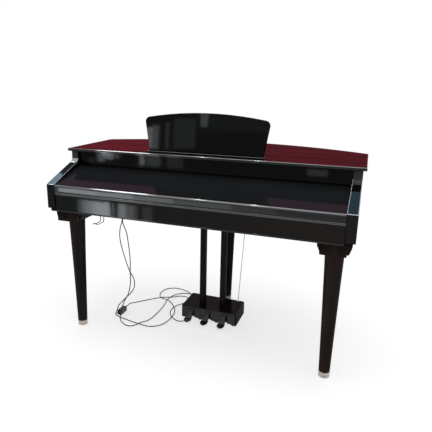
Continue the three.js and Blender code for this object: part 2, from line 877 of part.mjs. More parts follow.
function makeMainBoard() {
  const [x0, x1] = [mainBoardX - mainBoardWidth / 2, mainBoardX + mainBoardWidth / 2];
  const [y0, y1] = [mainBoardY - mainBoardDepth / 2, mainBoardY + mainBoardDepth / 2];
  const plateBottom = insideFloor + mainBoardPost;
  const plateTop = plateBottom + mainBoardThickness;
  const parts = [block(x0, y0, plateBottom, x1, y1, plateTop)];
  const post = mainBoardPost;
  for (const x of [x0, x1 - post]) {
    for (const y of [y0, y1 - post]) {
      parts.push(block(x, y, insideFloor, x + post, y + post, plateTop));
    }
  }
  const finPitch = heatSinkWidth / heatSinkFins;
  const sinkTop = plateTop + heatSinkHeight;
  const [sinkX, sinkFront, sinkBack] = [x0 + post, y0 + 2 * post, y0 + 5 * post];
  parts.push(block(sinkX, sinkFront, plateBottom, sinkX + heatSinkWidth, sinkBack, plateTop + post / 3));
  for (let i = 0; i < heatSinkFins; i += 1) {
    const x = sinkX + i * finPitch;
    parts.push(block(x, sinkFront, plateBottom, x + finPitch / 3, sinkBack, sinkTop));
  }
  addPiece('main_board', join(...parts), circuitGreen);
}

// Leg block: a capital whose ends sweep in from the case to the leg, with a narrower nose in front
const blockShares = [
  [1, 0],
  [1, 0.42],
  [0.7, 0.62],
  [0.3, 0.84],
  [0, 0.97],
  [-0.1, 1],
];

const noseShares = [
  [1, 0],
  [1, 0.34],
  [0.42, 0.5],
  [0.12, 0.66],
  [0, 0.95],
  [-0.1, 1],
];

// Front view between a left and a right edge, each given as its reach at the top and at the foot
function blockOutline(x, shares, [leftReach, leftFoot], [rightReach, rightFoot]) {
  const top = boardBottom - clearance;
  const edge = (reach, foot, way) =>
    shares.map(([out, down]) => [x + way * (foot + out * (reach - foot)), top - down * blockHeight]);
  return outline([...edge(leftReach, leftFoot, -1).reverse(), ...edge(rightReach, rightFoot, 1)].reverse());
}

function makeLegBlock(name, side) {
  const [inner, outer] = [[noseReachIn, noseFootIn], [noseReachOut, noseFootOut]];
  const [left, right] = side > 0 ? [inner, outer] : [outer, inner];
  const noseEnd = blockFront + blockNoseDepth;
  const nose = blockOutline(side * legX, noseShares, left, right);
  const body = blockOutline(side * legX, blockShares, [blockReach, blockFoot], [blockReach, blockFoot]);
  const solid = join(
    alongY(nose, blockFront, noseEnd + overrun, edgeRound),
    alongY(body, noseEnd, blockFront + blockDepth, edgeRound),
  );
  addPiece(name, solid, blackLacquer);
}

// Turned leg, slim at the foot and flaring towards the top
function legProfile(height) {
  const rings = 6;
  const points = [[0, 0]];
  for (let i = 0; i <= rings; i += 1) {
    const share = i / rings;
    const flare = (1 - legFlareShare) * share + legFlareShare * share ** 3;
    points.push([legFootRadius + (legTopRadius - legFootRadius) * flare, share * height]);
  }
  return points;
}

const ferruleShares = [
  [0, 0],
  [0.89, 0],
  [0.98, 0.08],
  [0.98, 0.34],
  [0.9, 0.42],
  [0.9, 0.56],
  [1, 0.64],
  [1, 0.86],
  [0.95, 1],
  [0, 1],
];

function makeFerrule(name, x, y) {
  const profile = ferruleShares.map(([r, h]) => [r * ferruleRadius, h * (ferruleHeight - clearance)]);
  addPiece(name, turned(profile, 20).translate(x, y, 0), chrome);
}

function makeLegs() {
  const height = legTop - ferruleHeight;
  for (const [side, word] of [[-1, 'left'], [1, 'right']]) {
    const leg = turned([...legProfile(height), [0, height]], 20);
    addPiece(`leg_${word}`, leg.translate(side * legX, legY, ferruleHeight), blackLacquer);
    makeFerrule(`ferrule_${word}`, side * legX, legY);
    makeLegBlock(`leg_block_${word}`, side);
  }
  const rearHeight = boardBottom - clearance - ferruleHeight;
  const collarBase = rearHeight - collarHeight;
  const shaft = legProfile(collarBase);
  const collar = [[collarRadius, collarBase + edgeRound], [collarRadius, rearHeight], [0, rearHeight]];
  const leg = turned([...shaft, ...collar], 20);
  addPiece('leg_rear', leg.translate(0, rearLegY, ferruleHeight), blackLacquer);
  makeFerrule('ferrule_rear', 0, rearLegY);
}

function makeLyrePosts() {
  const half = lyrePost / 2;
  for (const [side, word] of [[-1, 'left'], [1, 'right']]) {
    const x = side * lyreHalfSpan;
    const plan = roundedRectangle(x - half, lyreY - half, x + half, lyreY + half, edgeRound * 2);
    const post = alongZ(plan, pedalBoxTop + clearance, boardBottom - clearance, 0, 2);
    addPiece(`lyre_post_${word}`, post, blackLacquer);
  }
}

// A thin steel rod braces the pedal box against the case, with a flat foot at each end
function makeBraceRod() {
  const footY = pedalBoxBack - braceFootInset;
  const [low, high] = [pedalBoxTop + clearance, boardBottom - clearance];
  const foot = (x, y, z) =>
    turned([[0, 0], [braceFootRadius, 0], [braceFootRadius, braceFootHeight], [0, braceFootHeight]], 16)
      .translate(x, y, z);
  const inset = braceFootHeight / 2;
  const from = new THREE.Vector3(braceX, footY, low + inset);
  const to = new THREE.Vector3(braceX, footY + braceSetback, high - inset);
  const rod = join(
    rodBetween(from, to, braceRadius, 12),
    foot(braceX, footY, low),
    foot(braceX, footY + braceSetback, high - braceFootHeight),
  );
  addPiece('brace_rod', rod, chrome);
}

// Pedal box: a cap open below, scalloped in front under each pedal
const pedalXs = [-pedalSpacing, 0, pedalSpacing];

function scallop(x) {
  const shape = new THREE.Shape();
  shape.moveTo(x - scallopHalf, pedalBoxBottom - overrun);
  shape.lineTo(x + scallopHalf, pedalBoxBottom - overrun);
  shape.lineTo(x + scallopHalf, pedalBoxBottom);
  shape.absellipse(x, pedalBoxBottom, scallopHalf, scallopRise, 0, Math.PI);
  shape.closePath();
  return alongY(shape, pedalBoxFront - overrun, pedalBoxFront + pedalBoxWall + overrun, 0, 10);
}

function makePedalBox() {
  const half = pedalBoxWidth / 2;
  const inner = half - pedalBoxWall;
  const corner = pedalBoxCorner;
  const plan = roundedRectangle(-half, pedalBoxFront, half, pedalBoxBack, corner);
  const skirt = alongZ(plan, pedalBoxBottom, pedalBoxTop - 2 * pedalBoxRound, 0, 4);
  const crown = alongZ(plan, pedalBoxTop - 4 * pedalBoxRound, pedalBoxTop, pedalBoxRound, 4, 2);
  const hollow = block(
    -inner, pedalBoxFront + pedalBoxWall, pedalBoxBottom - overrun,
    inner, pedalBoxBack - pedalBoxWall, pedalBoxTop - pedalBoxWall,
  );
  const slots = pedalXs.map((x) => block(
    x - pedalSlotHalf, pedalBoxFront - overrun, pedalBoxBottom - overrun,
    x + pedalSlotHalf, pedalBoxFront + pedalBoxWall + overrun, pedalBoxBottom + pedalSlotTop,
  ));
  addPiece('pedal_box', cut(join(skirt, crown), hollow, ...slots, ...pedalXs.map(scallop)), blackLacquer);
}

// Base plate with ears and the axle that the pedals turn on
function makePedalBase() {
  const half = pedalBoxWidth / 2 - pedalBoxWall - clearance;
  const [front, back] = [pedalBoxFront + baseSetback, pedalBoxBack - pedalBoxWall - clearance];
  const plateTop = pedalBoxBottom + baseThickness;
  const parts = [block(-half, front, pedalBoxBottom, half, back, plateTop)];
  const earInner = pedalShankWidth / 2 + axleGap;
  const earHalfDepth = axleRadius * 2;
  for (const x of pedalXs) {
    for (const side of [-1, 1]) {
      const [a, b] = [x + side * earInner, x + side * (earInner + earWidth)];
      const [x0, x1] = [Math.min(a, b), Math.max(a, b)];
      const top = axleZ + earHalfDepth;
      parts.push(block(x0, axleY - earHalfDepth, pedalBoxBottom, x1, axleY + earHalfDepth, top));
    }
  }
  const reach = pedalSpacing + earInner + earWidth / 2;
  const from = new THREE.Vector3(-reach, axleY, axleZ);
  const to = new THREE.Vector3(reach, axleY, axleZ);
  parts.push(rodBetween(from, to, axleRadius, 12));
  addPiece('pedal_base', join(...parts), darkSteel);
}

// Pedal plan: a narrow shank that widens into a rounded blade
function pedalPlan(x) {
  const [tip, back] = [pedalBoxFront - pedalReach, axleY];
  const [shank, wide] = [pedalShankWidth / 2, pedalTipWidth / 2];
  const bladeBack = tip + pedalBlade;
  const shape = new THREE.Shape();
  shape.moveTo(x - shank, back);
  shape.lineTo(x - shank, bladeBack + pedalBlade / 2);
  shape.bezierCurveTo(x - shank, bladeBack, x - wide, bladeBack, x - wide, tip + wide);
  shape.absellipse(x, tip + wide, wide, wide, Math.PI, 2 * Math.PI);
  shape.bezierCurveTo(x + wide, bladeBack, x + shank, bladeBack, x + shank, bladeBack + pedalBlade / 2);
  shape.lineTo(x + shank, back);
  shape.closePath();
  return shape;
}

// Side view of a pedal: it rises from its heel to the box's front, then bends down to the tip
function pedalProfile() {
  const [low, tip] = [pedalBoxBottom + pedalLift, pedalBoxFront - pedalReach];
  const [crest, bladeBack] = [pedalBoxFront + pedalCrestReach, tip + pedalBlade];
  const shape = new THREE.Shape();
  const edge = (base) => [base, base + pedalCrestRise, base - pedalTipDrop];
  const [heelTop, crestTop, tipTop] = edge(low + pedalThickness);
  const [heelLow, crestLow, tipLow] = edge(low);
  const near = tip + pedalBlade / 4;
  shape.moveTo(axleY, heelTop);
  shape.bezierCurveTo(axleY - pedalBlade, heelTop, crest + pedalBlade, crestTop, crest, crestTop);
  shape.bezierCurveTo(crest - pedalBlade / 2, crestTop, bladeBack, heelTop, near, tipTop + 1);
  shape.quadraticCurveTo(tip, tipTop, tip, tipLow + pedalThickness / 2);
  shape.quadraticCurveTo(tip, tipLow, near, tipLow + 1);
  shape.bezierCurveTo(bladeBack, heelLow, crest - pedalBlade / 2, crestLow, crest, crestLow);
  shape.bezierCurveTo(crest + pedalBlade, crestLow, axleY - pedalBlade, heelLow, axleY, heelLow);
  shape.closePath();
  return shape;
}

function makePedals() {
  ['left', 'middle', 'right'].forEach((word, i) => {
    const x = pedalXs[i];
    const half = pedalShankWidth / 2;
    const wide = pedalTipWidth / 2 + overrun;
    const ends = (reach, radius) => rodBetween(
      new THREE.Vector3(x - reach, axleY, axleZ),
      new THREE.Vector3(x + reach, axleY, axleZ),
      radius,
      20,
    );
    const plan = alongZ(pedalPlan(x), pedalBoxBottom, pedalBoxTop, 0, 6);
    const blade = common(plan, alongX(pedalProfile(), x - wide, x + wide, 0, 6));
    const heel = ends(half, pedalHeelRadius);
    const bore = ends(half + overrun, axleRadius + axleGap);
    const pedal = toGeometry(toSolid(blade).add(toSolid(heel)).subtract(toSolid(bore)));
    addPiece(`pedal_${word}`, pedal, chrome);
  });
}

// Music desk: curved top, leaning back a little, with its foot rounded about the hinge line
const hingeZ = caseHeight + clearance + ledgeHeight + clearance + deskThickness / 2;

function deskOutline() {
  const foot = deskThickness / 2;
  const top = deskHeight - foot;
  const shoulder = deskShoulder;
  const crest = 2 * top - shoulder;
  const shape = new THREE.Shape();
  shape.moveTo(-deskHalfFoot, -foot);
  shape.lineTo(deskHalfFoot, -foot);
  shape.lineTo(deskHalfTop, shoulder - deskCorner);
  shape.quadraticCurveTo(deskHalfTop, shoulder, deskHalfTop - deskCorner, shoulder + deskCorner / 4);
  shape.quadraticCurveTo(0, crest, deskCorner - deskHalfTop, shoulder + deskCorner / 4);
  shape.quadraticCurveTo(-deskHalfTop, shoulder, -deskHalfTop, shoulder - deskCorner);
  shape.closePath();
  return shape;
}

function makeMusicDesk() {
  const group = new THREE.Group();
  group.position.set(0, deskHingeY, hingeZ);
  group.rotation.x = -deskLean;
  const half = deskThickness / 2;
  const board = alongY(deskOutline(), -half, half, edgeRound, 10);
  const side = new THREE.Shape();
  side.moveTo(-half, deskHeight);
  side.lineTo(-half, 0);
  side.absarc(0, 0, half, Math.PI, 2 * Math.PI);
  side.lineTo(half, deskHeight);
  side.closePath();
  const wide = deskHalfTop + overrun;
  addPiece('music_desk', common(board, alongX(side, -wide, wide, 0, 8)), blackLacquer, group);
  instrument.add(group);
}

function makeDeskLedge() {
  const bottom = caseHeight + clearance;
  const back = ledgeFront + ledgeDepth;
  const lipBack = ledgeFront + ledgeLipDepth;
  const shape = outline([
    [ledgeFront, bottom],
    [back, bottom],
    [back, bottom + ledgeHeight],
    [lipBack, bottom + ledgeHeight],
    [lipBack, bottom + ledgeLip],
    [ledgeFront + edgeRound / 2, bottom + ledgeLip],
    [ledgeFront, bottom + ledgeLip - edgeRound],
  ]);
  addPiece('desk_ledge', alongX(shape, -ledgeHalf, ledgeHalf), blackLacquer);
}

// Stay: a strut hinged on the desk's back, its foot on the lid; it folds up against the back
function makeDeskStay() {
  const half = deskThickness / 2;
  const gap = half + clearance + stayThickness / 2;
  const pivot = new THREE.Vector3(0, gap, stayHeight).applyAxisAngle(new THREE.Vector3(1, 0, 0), -deskLean);
  const pivotZ = hingeZ + pivot.z;
  const drop = pivotZ - caseHeight - clearance - stayThickness / 2;
  const swing = Math.acos(drop / stayLength);
  const group = new THREE.Group();
  group.position.set(0, deskHingeY + pivot.y, pivotZ);
  group.rotation.x = swing;
  const width = stayWidth / 2;
  const round = stayThickness / 2;
  const plan = outline([
    [-width, 0],
    [-width, -stayLength],
    [width, -stayLength],
    [width, 0],
  ].reverse());
  plan.holes = [rectangle(-width + stayGrip, -stayLength + stayGrip, width - stayGrip, -stayGrip)];
  const side = new THREE.Shape();
  side.moveTo(-round, 0);
  side.absarc(0, 0, round, Math.PI, 0, true);
  side.lineTo(round, -stayLength);
  side.absarc(0, -stayLength, round, 0, -Math.PI, true);
  side.closePath();
  const plate = alongY(plan, -round, round);
  const ends = alongX(side, -width - overrun, width + overrun, 0, 5);
  const caps = [0, -stayLength].map((z) => rodBetween(
    new THREE.Vector3(-width, 0, z),
    new THREE.Vector3(width, 0, z),
    round,
    12,
  ));
  addPiece('desk_stay', common(join(plate, ...caps), ends), darkSteel, group);
  instrument.add(group);
}

// Headphone hook: one wire bent down, forward and up at the tip
function makeHook() {
  const top = boardBottom - clearance;
  const low = top - hookDrop;
  const half = hookSpan / 2;
  const arm = (side) => {
    const x = hookX + side * half;
    const tip = hookY - hookReach;
    return [[x, hookY, top], [x, hookY, low], [x, tip + hookBend, low], [x, tip, low + hookTip]];
  };
  const points = [...arm(-1), ...arm(1).reverse()];
  addPiece('headphone_hook', sweep(rounded(points, hookBend), hookRadius, 6, 36), darkSteel);
}

// Jack box under the case, with one socket for each plug
function plugBore(x, y) {
  const radius = plugRadius + clearance;
  return turned([[0, -overrun], [radius, -overrun], [radius, socketDepth], [0, socketDepth]], 16)
    .translate(x, y, jackBottom);
}

function makeJackBox() {
  const [w, d] = [jackBoxWidth / 2, jackBoxDepth / 2];
  const box = block(
    jackBoxX - w, jackBoxY - d, jackBottom,
    jackBoxX + w, jackBoxY + d, boardBottom - clearance, edgeRound,
  );
  addPiece('jack_box', cut(box, plugBore(...powerPlug), plugBore(...pedalPlug)), satinPlastic);
}

// Straight plug with a tapered strain relief below it
const plugBottom = jackBottom + socketDepth - clearance - plugLength - reliefLength;

function makePlug(name, [x, y]) {
  const top = plugLength + reliefLength;
  const plug = turned([
    [0, 0],
    [cordRadius + edgeRound / 2, 0],
    [plugRadius - edgeRound / 2, reliefLength],
    [plugRadius, reliefLength + edgeRound],
    [plugRadius, top],
    [0, top],
  ], 16);
  addPiece(name, plug.translate(x, y, plugBottom), satinPlastic);
}

const adapterBack = adapterFront + adapterLength;
const adapterEnd = adapterBack + glandLength;
const adapterMid = adapterHeight / 2;

function taper(length) {
  return turned([
    [0, -overrun],
    [glandRadius, -overrun],
    [glandRadius, 0],
    [cordRadius + edgeRound / 2, length],
    [0, length],
  ], 16).rotateX(-Math.PI / 2);
}

// Power adapter lying on the floor: two pins in front, strain relief behind
function makeAdapter() {
  const half = adapterWidth / 2;
  const body = block(
    adapterX - half, adapterFront, 0,
    adapterX + half, adapterBack, adapterHeight, adapterRound,
  );
  const pins = [-1, 1].map((side) => rodBetween(
    new THREE.Vector3(adapterX + side * pinSpacing / 2, adapterFront - pinLength, adapterMid),
    new THREE.Vector3(adapterX + side * pinSpacing / 2, adapterFront + overrun, adapterMid),
    pinRadius,
    10,
  ));
  const relief = taper(glandLength).translate(adapterX, adapterBack, adapterMid);
  addPiece('power_adapter', join(body, relief, ...pins), satinPlastic);
}

// Gland on the back of the pedal box
const glandZ = pedalBoxBottom + glandHeight;
const glandEnd = pedalBoxBack + clearance + glandLength;

function makeGland() {
  const gland = turned([
    [0, 0],
    [glandRadius + edgeRound, 0],
    [glandRadius + edgeRound, edgeRound],
    [glandRadius, edgeRound],
    [cordRadius + edgeRound / 2, glandLength],
    [0, glandLength],
  ], 16).rotateX(-Math.PI / 2);
  addPiece('pedal_cord_gland', gland.translate(glandX, pedalBoxBack + clearance, glandZ), satinPlastic);
}

// Routes chosen by hand; each starts under its plug and ends at the adapter or the gland
const powerRoute = [
  [-446, 262, plugBottom - clearance],
  [-448, 262, 545],
  [-462, 264, 500],
  [-464, 266, 440],
  [-424, 275, 284],
  [-396, 282, 218],
  [-403, 287, 166],
  [-471, 294, 84],
  [-503, 297, 46],
  [-514, 291, 14],
  [-508, 268, 3.4],
  [-488, 255, 3.4],
  [-343, 220, 3.4],
  [-276, 217, 3.4],
  [-229, 252, 3.4],
  [-210, 330, 3.4],
  [-219, 415, 3.4],
  [-258, 485, 3.4],
  [-312, 535, 3.4],
  [-366, 553, 3.4],
  [-392, 606, 3.4],
  [-381, 674, 3.4],
  [-335, 706, 3.4],
  [-228, 664, 10],
  [-186, 608, 3.4],
  [-128, 440, 3.4],
  [-113, 369, 3.4],
  [-158, 326, 3.4],
  [-211, 350, 10],
  [-240, 411, 10],
  [-236, 468, 10],
  [-210, 545, 3.4],
  [-220, 612, 3.4],
  [-266, 612, 3.4],
  [-308, 580, 3.4],
  [-352, 544, 10],
  [-460, 456, 3.4],
  [-493, 404, 8],
  [adapterX, 374, adapterMid],
  [adapterX, adapterEnd + clearance, adapterMid],
];

const pedalRoute = [
  [-429, 235, plugBottom - clearance],
  [-427, 235, 545],
  [-410, 238, 496],
  [-401, 242, 420],
  [-398, 247, 350],
  [-404, 255, 270],
  [-406, 258, 210],
  [-423, 261, 142],
  [-451, 258, 88],
  [-463, 248, 38],
  [-457, 226, 8],
  [-430, 200, 3.4],
  [-394, 181, 3.4],
  [-362, 189, 3.4],
  [-336, 220, 10],
  [-312, 275, 3.4],
  [-303, 360, 3.4],
  [-306, 460, 3.4],
  [-312, 534, 10],
  [-303, 590, 10],
  [-280, 643, 3.4],
  [-225, 665, 3.4],
  [-165, 645, 5],
  [-132, 605, 22],
  [glandX, 572, glandZ],
  [glandX, glandEnd + clearance, glandZ],
];

function makeCords() {
  addPiece('power_cord', sweep(powerRoute, cordRadius, cordSides, 80), cordRubber);
  addPiece('pedal_cord', sweep(pedalRoute, cordRadius, cordSides, 60), cordRubber);
}

makeLid();
makeSides();
makeRearPanel();
makeBottomBoard();
makeApron();
makeKeySlip();
makeKeyCover();
makeFrontBoard();
makeWhiteComb('white_keys_low', 0, octaveStart);
makeWhiteComb('white_keys_high', octaveStart + octaveCount, whiteCount);
makeKeyFrame();
makeHingedKeys();
makeKeyBlocks();
makeControlPanel();
makeSpeaker('speaker_left', -speakerX);
makeSpeaker('speaker_right', speakerX);
makeMainBoard();
makeLegs();
makeLyrePosts();
makeBraceRod();
makePedalBox();
makePedalBase();
makePedals();
makeDeskLedge();
makeMusicDesk();
makeDeskStay();
makeHook();
makeJackBox();
makePlug('power_plug', powerPlug);
makePlug('pedal_plug', pedalPlug);
makeAdapter();
makeGland();
makeCords();

// The origin is on the floor under the middle of the case
instrument.position.y = -caseDepth / 2;

export default instrument;
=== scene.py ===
"""Looks for the compact digital grand-style piano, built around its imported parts.

Metres. X runs to the player's right, Y away from the player, Z up from the floor.
"""

import math

import bmesh
import bpy
from mathutils import Euler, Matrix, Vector


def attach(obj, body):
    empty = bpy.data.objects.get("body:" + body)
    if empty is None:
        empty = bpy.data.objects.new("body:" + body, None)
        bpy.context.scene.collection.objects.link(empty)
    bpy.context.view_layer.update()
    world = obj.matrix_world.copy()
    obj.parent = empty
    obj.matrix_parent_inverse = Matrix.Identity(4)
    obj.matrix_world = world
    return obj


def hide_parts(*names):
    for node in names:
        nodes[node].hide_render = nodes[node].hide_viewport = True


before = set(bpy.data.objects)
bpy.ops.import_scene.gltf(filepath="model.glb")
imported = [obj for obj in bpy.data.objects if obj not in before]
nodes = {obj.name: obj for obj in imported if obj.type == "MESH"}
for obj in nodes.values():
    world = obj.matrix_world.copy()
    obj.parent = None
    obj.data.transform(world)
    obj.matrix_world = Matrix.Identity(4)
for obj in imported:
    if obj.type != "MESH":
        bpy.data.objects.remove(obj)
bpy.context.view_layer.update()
scene = bpy.context.scene
scene.view_settings.view_transform = "Standard"

MM = 0.001
FRONT = 402  # the parts' sizes are counted from the front of the arms, this far in front of the origin


def place(x, y, z):
    return Vector((x * MM, (y - FRONT) * MM, z * MM))


# Camera
camera_data = bpy.data.cameras.new("camera")
camera_data.sensor_fit = "HORIZONTAL"
camera_data.sensor_width = 36
camera_data.lens = 39.99
camera_data.shift_x = 0.0647
camera_data.shift_y = -0.0168
camera_data.clip_start = 0.05
camera_data.clip_end = 60
camera = bpy.data.objects.new("camera", camera_data)
camera.location = (0.73676, -2.22183, 1.25747)
camera.rotation_euler = Euler([math.radians(a) for a in (74.8323, -0.3279, 21.5550)], "XYZ")
scene.collection.objects.link(camera)
scene.camera = camera


# Materials
class Shader:
    """A node tree round one Principled shader, with short calls for the nodes used here."""

    def __init__(self, name, **constants):
        self.material = bpy.data.materials.new(name)
        self.material.use_nodes = True
        self.tree = self.material.node_tree
        self.surface = self.tree.nodes["Principled BSDF"]
        for key, value in constants.items():
            self.feed(self.surface.inputs[key.replace("_", " ")], value)
        self.coordinate = self.tree.nodes.new("ShaderNodeTexCoord")

    def link(self, start, end):
        self.tree.links.new(start, end)

    def feed(self, socket, value):
        """Links a socket to a node's output, or sets it to a number or a colour."""
        if isinstance(value, bpy.types.NodeSocket):
            self.link(value, socket)
        else:
            socket.default_value = (*value, 1) if isinstance(value, tuple) else value

    def drive(self, key, value):
        self.link(value, self.surface.inputs[key])

    def mapped(self, scale):
        """Object coordinates times a factor for each axis, to stretch what is drawn on them."""
        node = self.tree.nodes.new("ShaderNodeMapping")
        node.inputs["Scale"].default_value = scale
        self.link(self.coordinate.outputs["Object"], node.inputs["Vector"])
        return node.outputs["Vector"]

    def along(self, axis):
        """One of the three object coordinates."""
        node = self.tree.nodes.new("ShaderNodeSeparateXYZ")
        self.link(self.coordinate.outputs["Object"], node.inputs["Vector"])
        return node.outputs[axis]

    def noise(self, scale, detail, roughness=0.5, vector=None, distortion=0.0):
        node = self.tree.nodes.new("ShaderNodeTexNoise")
        node.inputs["Scale"].default_value = scale
        node.inputs["Detail"].default_value = detail
        node.inputs["Roughness"].default_value = roughness
        node.inputs["Distortion"].default_value = distortion
        self.link(vector or self.coordinate.outputs["Object"], node.inputs["Vector"])
        return node.outputs["Fac"]

    def ramp(self, value, *stops):
        """Maps a value to greys or colours; each stop is (position, grey or colour)."""
        node = self.tree.nodes.new("ShaderNodeValToRGB")
        elements = node.color_ramp.elements
        while len(elements) < len(stops):
            elements.new(0.5)
        for element, (position, color) in zip(elements, stops):
            element.position = position
            element.color = (*color, 1) if isinstance(color, tuple) else (color, color, color, 1)
        self.link(value, node.inputs["Fac"])
        return node.outputs["Color"]

    def span(self, value, low, high, start=0.0, end=1.0):
        """Maps start to low and end to high, and holds the value beyond them."""
        node = self.tree.nodes.new("ShaderNodeMapRange")
        for key, number in (("From Min", start), ("From Max", end), ("To Min", low), ("To Max", high)):
            node.inputs[key].default_value = number
        self.link(value, node.inputs["Value"])
        return node.outputs["Result"]

    def mix(self, factor, first, second):
        node = self.tree.nodes.new("ShaderNodeMix")
        node.data_type = "RGBA"
        for key, value in (("Factor", factor), ("A", first), ("B", second)):
            socket = next(s for s in node.inputs if s.name == key and (key == "Factor" or s.type == "RGBA"))
            self.feed(socket, value)
        return next(s for s in node.outputs if s.type == "RGBA")

    def math(self, operation, first, second):
        node = self.tree.nodes.new("ShaderNodeMath")
        node.operation = operation
        for socket, value in zip(node.inputs, (first, second)):
            self.feed(socket, value)
        return node.outputs["Value"]

    def bump(self, height, distance, strength=1.0, normal=None):
        node = self.tree.nodes.new("ShaderNodeBump")
        node.inputs["Distance"].default_value = distance
        node.inputs["Strength"].default_value = strength
        self.link(height, node.inputs["Height"])
        if normal:
            self.link(normal, node.inputs["Normal"])
        return node.outputs["Normal"]


POLISH = (0.05, 0.1)  # the least and the most roughness of a well polished surface
PEEL_DEPTH, WAVE_DEPTH, WAVE_STRENGTH = 0.00003, 0.0005, 0.4
# What the lacquers of the legs and the lyre share, and what those of the bright edges share
WOODY = {"polish": (0.09, 0.2), "grain": (16, 16, 0.9)}
SHINY = {"polish": (0.1, 0.16), "ior": 1.9}


def polished(s, polish=POLISH):
    """Wiping haze and dust in the roughness, and the slight waves of a polished surface."""
    wipe = s.noise(5.0, 5, 0.6, s.mapped((1, 3, 2)), 0.8)
    haze = s.span(wipe, *polish, 0.3, 0.75)
    dust = s.ramp(s.noise(420, 2), (0.66, 0.0), (0.74, 0.22))
    s.drive("Roughness", s.math("ADD", haze, dust))
    peel = s.bump(s.noise(70, 2), PEEL_DEPTH)
    wave = s.bump(s.noise(6, 2), WAVE_DEPTH, WAVE_STRENGTH, peel)
    s.drive("Normal", wave)
    s.drive("Coat Normal", wave)


def lacquer(name, dark, light, clear, polish=POLISH, grain=(1, 1, 1), ior=1.55):
    """Polished polyester: a deep, slightly cloudy colour under clear polish."""
    s = Shader(name, Specular_IOR_Level=0.0, Coat_Weight=clear, Coat_IOR=ior, Coat_Roughness=polish[0])
    cloud = s.noise(2.3, 4, 0.5, s.mapped(grain))
    s.drive("Base Color", s.ramp(cloud, (0.35, dark), (0.7, light)))
    polished(s, polish)
    return s.material


black = lacquer("black_lacquer", (0.0021, 0.0023, 0.0027), (0.0034, 0.0037, 0.0042), 0.26)
arm_black = lacquer("arm_lacquer", (0.0022, 0.0026, 0.0032), (0.0036, 0.0042, 0.0052), 0.14)
leg_black = lacquer("leg_lacquer", (0.0105, 0.0062, 0.0044), (0.0340, 0.0205, 0.0145), 0.13, **WOODY)
# A darker copy of the leg lacquer for the rear leg: painted shade under the piano
rear_leg_painted_shade = lacquer("rear_leg_lacquer", (0.0040, 0.0024, 0.0021), (0.0105, 0.0064, 0.0056), 0.08, **WOODY)
lyre_black = lacquer("lyre_lacquer", (0.0090, 0.0058, 0.0046), (0.0210, 0.0140, 0.0108), 0.09, **WOODY)
rail_black = lacquer(
    "rail_lacquer", (0.0060, 0.0064, 0.0070), (0.0095, 0.0100, 0.0110), 1.0, (0.06, 0.1), (1, 6, 6), 1.65
)
cover_black = lacquer(
    "cover_lacquer", (0.0114, 0.0130, 0.0143), (0.0157, 0.0176, 0.0193), 0.06, grain=(1, 3, 3)
)
# Grey lacquer on beads and rounded edges: a painted highlight
edge_painted_highlight = lacquer("painted_highlight_edge", (0.034, 0.037, 0.041), (0.056, 0.060, 0.066), 1.0, **SHINY)
# Light grey on the arms' rounded upper edges: a painted highlight
arm_edge_painted_highlight = lacquer("arm_edge_painted_highlight", (0.34, 0.37, 0.39), (0.52, 0.56, 0.59), 1.0, **SHINY)
arm_glint = lacquer("arm_glint", (0.80, 0.87, 0.93), (0.84, 0.91, 0.97), 1.0, **SHINY)
# Lighter lacquer on the lid's and ledge's slanted edges: a painted highlight
lid_line = lacquer("lid_edge_line", (0.055, 0.059, 0.064), (0.085, 0.090, 0.098), 1.0, **SHINY)
# Grey lacquer on the pedal box's front and edges and on the arms' upper fronts: a painted reflection
front_painted_reflection = lacquer("front_painted_reflection", (0.048, 0.050, 0.049), (0.075, 0.078, 0.076), 0.2, (0.1, 0.2))


def apron_painted_reflection():
    """Black at the left that turns to a warm brown-black at the right, a painted reflection of a wood floor.
    """
    s = Shader("apron_lacquer", Specular_IOR_Level=0.0, Coat_Weight=0.55, Coat_IOR=1.55, Coat_Roughness=0.05)
    rightward = s.span(s.along("X"), 0.0, 1.0, -0.45, 0.5)
    cloud = s.noise(2.6, 4, 0.5, s.mapped((1, 3, 3)))
    cold = s.ramp(cloud, (0.3, (0.0016, 0.0018, 0.0022)), (0.7, (0.0028, 0.0030, 0.0034)))
    # The warm brown-black is a painted reflection of a wood floor in the polish
    warm = s.ramp(cloud, (0.3, (0.0115, 0.0078, 0.0052)), (0.7, (0.0165, 0.0114, 0.0080)))
    s.drive("Base Color", s.mix(rightward, cold, warm))
    polished(s)
    return s.material


# Stops of the grain ramp for the lid's deep red, a painted reflection of a red wall
RED_REFLECTION_STOPS = (0.34, (0.024, 0.0022, 0.0040)), (0.5, (0.072, 0.0034, 0.0072)), (0.68, (0.135, 0.0075, 0.0150))
# Painted reflection of bright light: how much lighter the red is at the left, and the x positions over which
# it fades
LIGHTER = 1.6
LIGHTER_FROM, LIGHTER_TO = -0.32, 0.26
# The dark strip in front of the desk, a painted reflection of the black desk: where it starts to fade at its
# back and its ends, and where it is gone
STRIP_BACK, STRIP_ENDS = (-0.168, -0.160), (0.292, 0.306)


